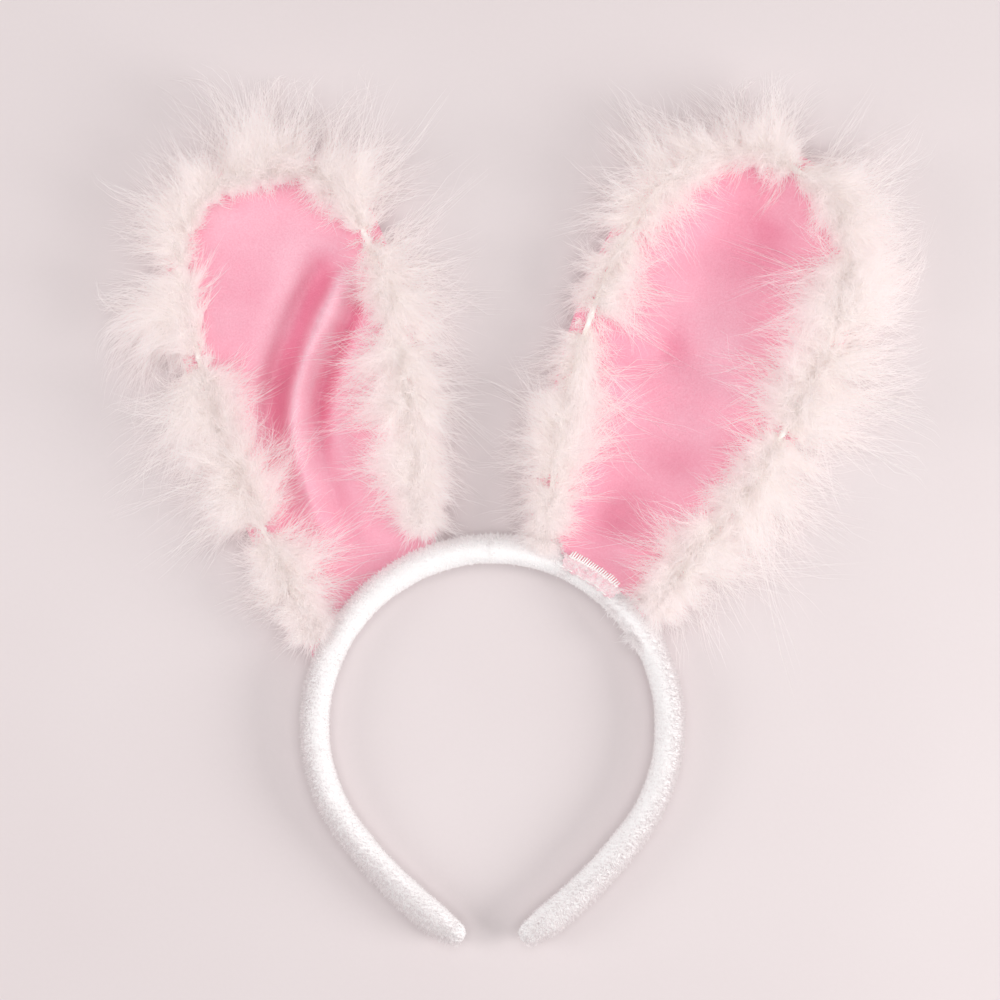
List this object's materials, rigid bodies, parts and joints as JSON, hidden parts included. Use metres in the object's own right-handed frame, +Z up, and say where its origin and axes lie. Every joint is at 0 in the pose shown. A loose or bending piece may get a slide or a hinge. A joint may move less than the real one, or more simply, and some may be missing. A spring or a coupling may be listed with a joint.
{
  "type": "animal ears headband",
  "caption": "Plush-covered headband with two satin rabbit ears edged in marabou feathers; the arms spring open round a head and the ears tilt where they are sewn on.",
  "frame": {"origin": "centre of the head arch, at the level of the surface the headband lies on", "axes": "+Z up from the surface it lies on, +Y from the arch towards the ear tips, +X to the right seen from above with the ears away from the viewer"},
  "size_m": [0.2443, 0.2739, 0.024],
  "materials": {
    "springy_plastic": "satin",
    "foam_padding": "matte",
    "white_plush": "short soft pile",
    "white_thread": "matte",
    "pink_satin": "soft sheen",
    "back_satin": "soft sheen",
    "stiffener": "matte felted sheet",
    "edge_wire": "plain",
    "feather_cord": "matte twisted cotton",
    "marabou_feather": "soft down"
  },
  "bodies": {
    "band": {"crown_strip": "springy_plastic", "crown_padding": "foam_padding", "crown_cover": "white_plush", "left_base_flap": "pink_satin", "left_overlock_edge": "white_thread", "left_flap_stitches": "white_thread", "right_base_flap": "pink_satin", "right_overlock_edge": "white_thread", "right_flap_stitches": "white_thread"},
    "left_arm": {"left_arm_strip": "springy_plastic", "left_arm_padding": "foam_padding", "left_arm_cover": "white_plush", "left_tip_fold": "white_plush"},
    "right_arm": {"right_arm_strip": "springy_plastic", "right_arm_padding": "foam_padding", "right_arm_cover": "white_plush", "right_tip_fold": "white_plush"},
    "left_ear": {"left_front_satin": "pink_satin", "left_back_satin": "back_satin", "left_stiffener": "stiffener", "left_edge_wire": "edge_wire", "left_feather_cord": "feather_cord", "left_feather_puffs": "marabou_feather", "left_cord_stitches": "white_thread", "left_cord_knots": "white_thread"},
    "right_ear": {"right_front_satin": "pink_satin", "right_back_satin": "back_satin", "right_stiffener": "stiffener", "right_edge_wire": "edge_wire", "right_feather_cord": "feather_cord", "right_feather_puffs": "marabou_feather", "right_cord_stitches": "white_thread", "right_cord_knots": "white_thread"}
  },
  "joints": [
    {"name": "left_arm_flex", "type": "hinge", "parent": "band", "child": "left_arm", "pos_m": [-0.05469, 0.01777, 0.0071], "axis": [0, 0, -1], "range_deg": [-4, 14], "stiffness_Nm_per_rad": 0.7},
    {"name": "right_arm_flex", "type": "hinge", "parent": "band", "child": "right_arm", "pos_m": [0.05469, 0.01777, 0.0071], "axis": [0, 0, 1], "range_deg": [-4, 14], "stiffness_Nm_per_rad": 0.7},
    {"name": "left_ear_tilt", "type": "hinge", "parent": "band", "child": "left_ear", "pos_m": [-0.04419, 0.04739, 0.0065], "axis": [0.7314, 0.682, 0], "range_deg": [-50, 50]},
    {"name": "right_ear_tilt", "type": "hinge", "parent": "band", "child": "right_ear", "pos_m": [0.03717, 0.05308, 0.0065], "axis": [0.8192, -0.5736, 0], "range_deg": [-50, 50]}
  ]
}
